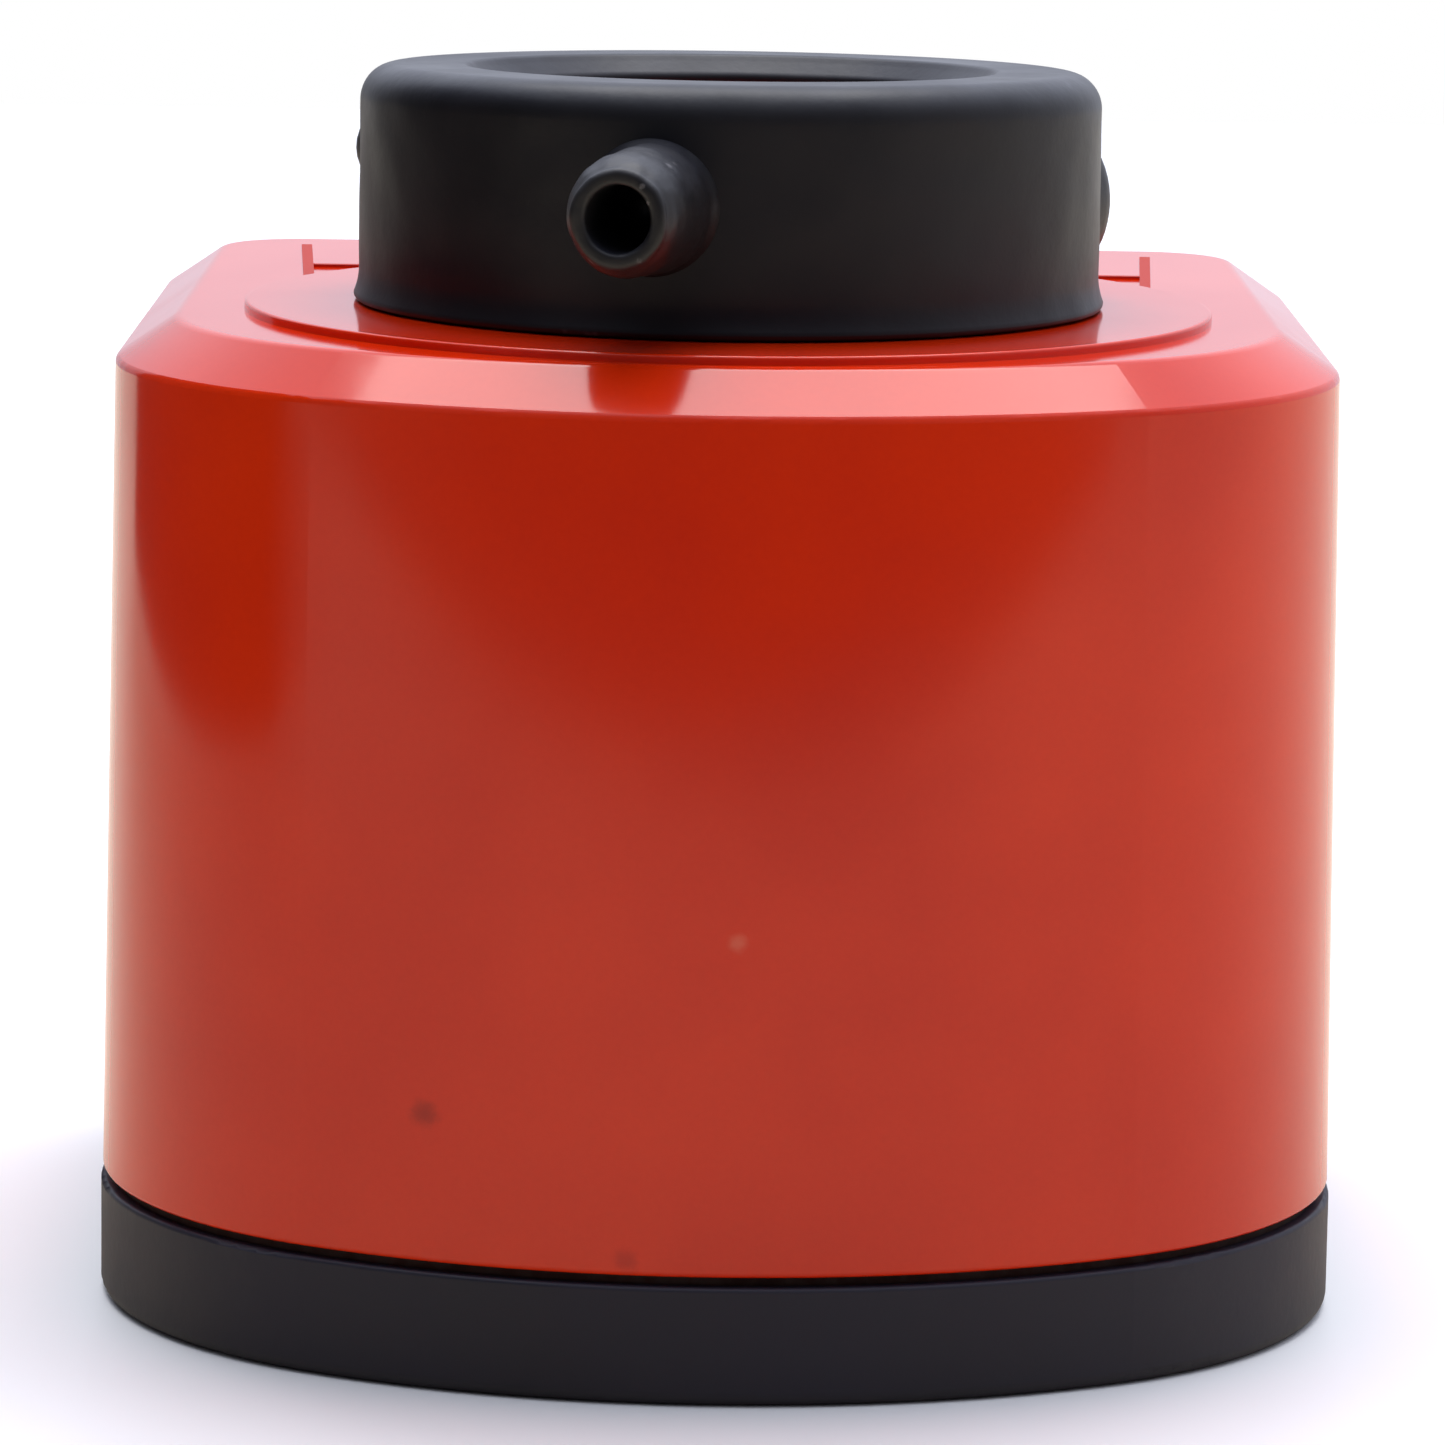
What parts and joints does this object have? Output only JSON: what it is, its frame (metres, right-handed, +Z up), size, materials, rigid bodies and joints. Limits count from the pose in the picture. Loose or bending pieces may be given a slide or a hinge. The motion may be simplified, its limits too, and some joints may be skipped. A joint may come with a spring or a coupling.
{
  "type": "oil filter",
  "caption": "Compact engine oil filter: bow-fronted moulded housing on a dark base cover, with a swivelling rubber neck collar that has a side nipple over a replaceable pleated element.",
  "frame": {"origin": "centre of the bow-fronted footprint, on the plane of the base's underside", "axes": "+Z up along the neck, towards the pipe; -Y is the bowed front, which the nipple is nearest to; +X is right when the front is seen"},
  "size_m": [0.0662, 0.071, 0.0655],
  "materials": {
    "shell": "glossy moulded, orange red",
    "cover": "matt moulded, near black",
    "collar": "satin black rubber",
    "nipple": "matt black, worn at the edges",
    "gasket": "matt black rubber",
    "seal": "satin rubber",
    "steel": "bright zinc plate",
    "spring": "drawn wire",
    "cap": "grey coated steel",
    "tube": "perforated, tinned",
    "paper": "resin-cured filter paper",
    "brass": "turned",
    "poppet": "natural nylon"
  },
  "bodies": {
    "housing": {"housing_shell": "shell", "base_cover": "cover", "cover_gasket": "gasket", "port_gasket": "gasket", "cover_screws": "steel", "screw_inserts": "brass", "mounting_inserts": "brass", "inlet_screen": "tube", "check_cage": "steel", "check_spring": "spring", "element_spring": "spring", "lower_end_cap": "cap", "upper_end_cap": "cap", "centre_tube": "tube", "filter_media": "paper", "neck_grommet": "seal", "relief_seat": "steel", "relief_bridge": "steel", "relief_spring": "spring", "spigot_ring_lower": "seal", "spigot_ring_upper": "seal", "snap_ring": "spring"},
    "collar": {"neck_collar": "collar", "side_nipple": "nipple"},
    "relief_valve": {"relief_poppet": "poppet"},
    "check_valve": {"check_plate": "steel", "check_seal": "seal"}
  },
  "joints": [
    {"name": "collar_turn", "type": "hinge", "parent": "housing", "child": "collar", "pos_m": [0, -0.00485, 0.05303], "axis": [0, 0, 1], "continuous": true},
    {"name": "relief_lift", "type": "slide", "parent": "housing", "child": "relief_valve", "axis": [0, 0, 1], "range_m": [0, 0.003], "stiffness_N_per_m": 1500, "springref_m": -0.002, "deforming": ["relief_spring"]},
    {"name": "check_lift", "type": "slide", "parent": "housing", "child": "check_valve", "axis": [0, 0, 1], "range_m": [0, 0.0018], "stiffness_N_per_m": 120, "springref_m": -0.002, "deforming": ["check_spring"]}
  ]
}
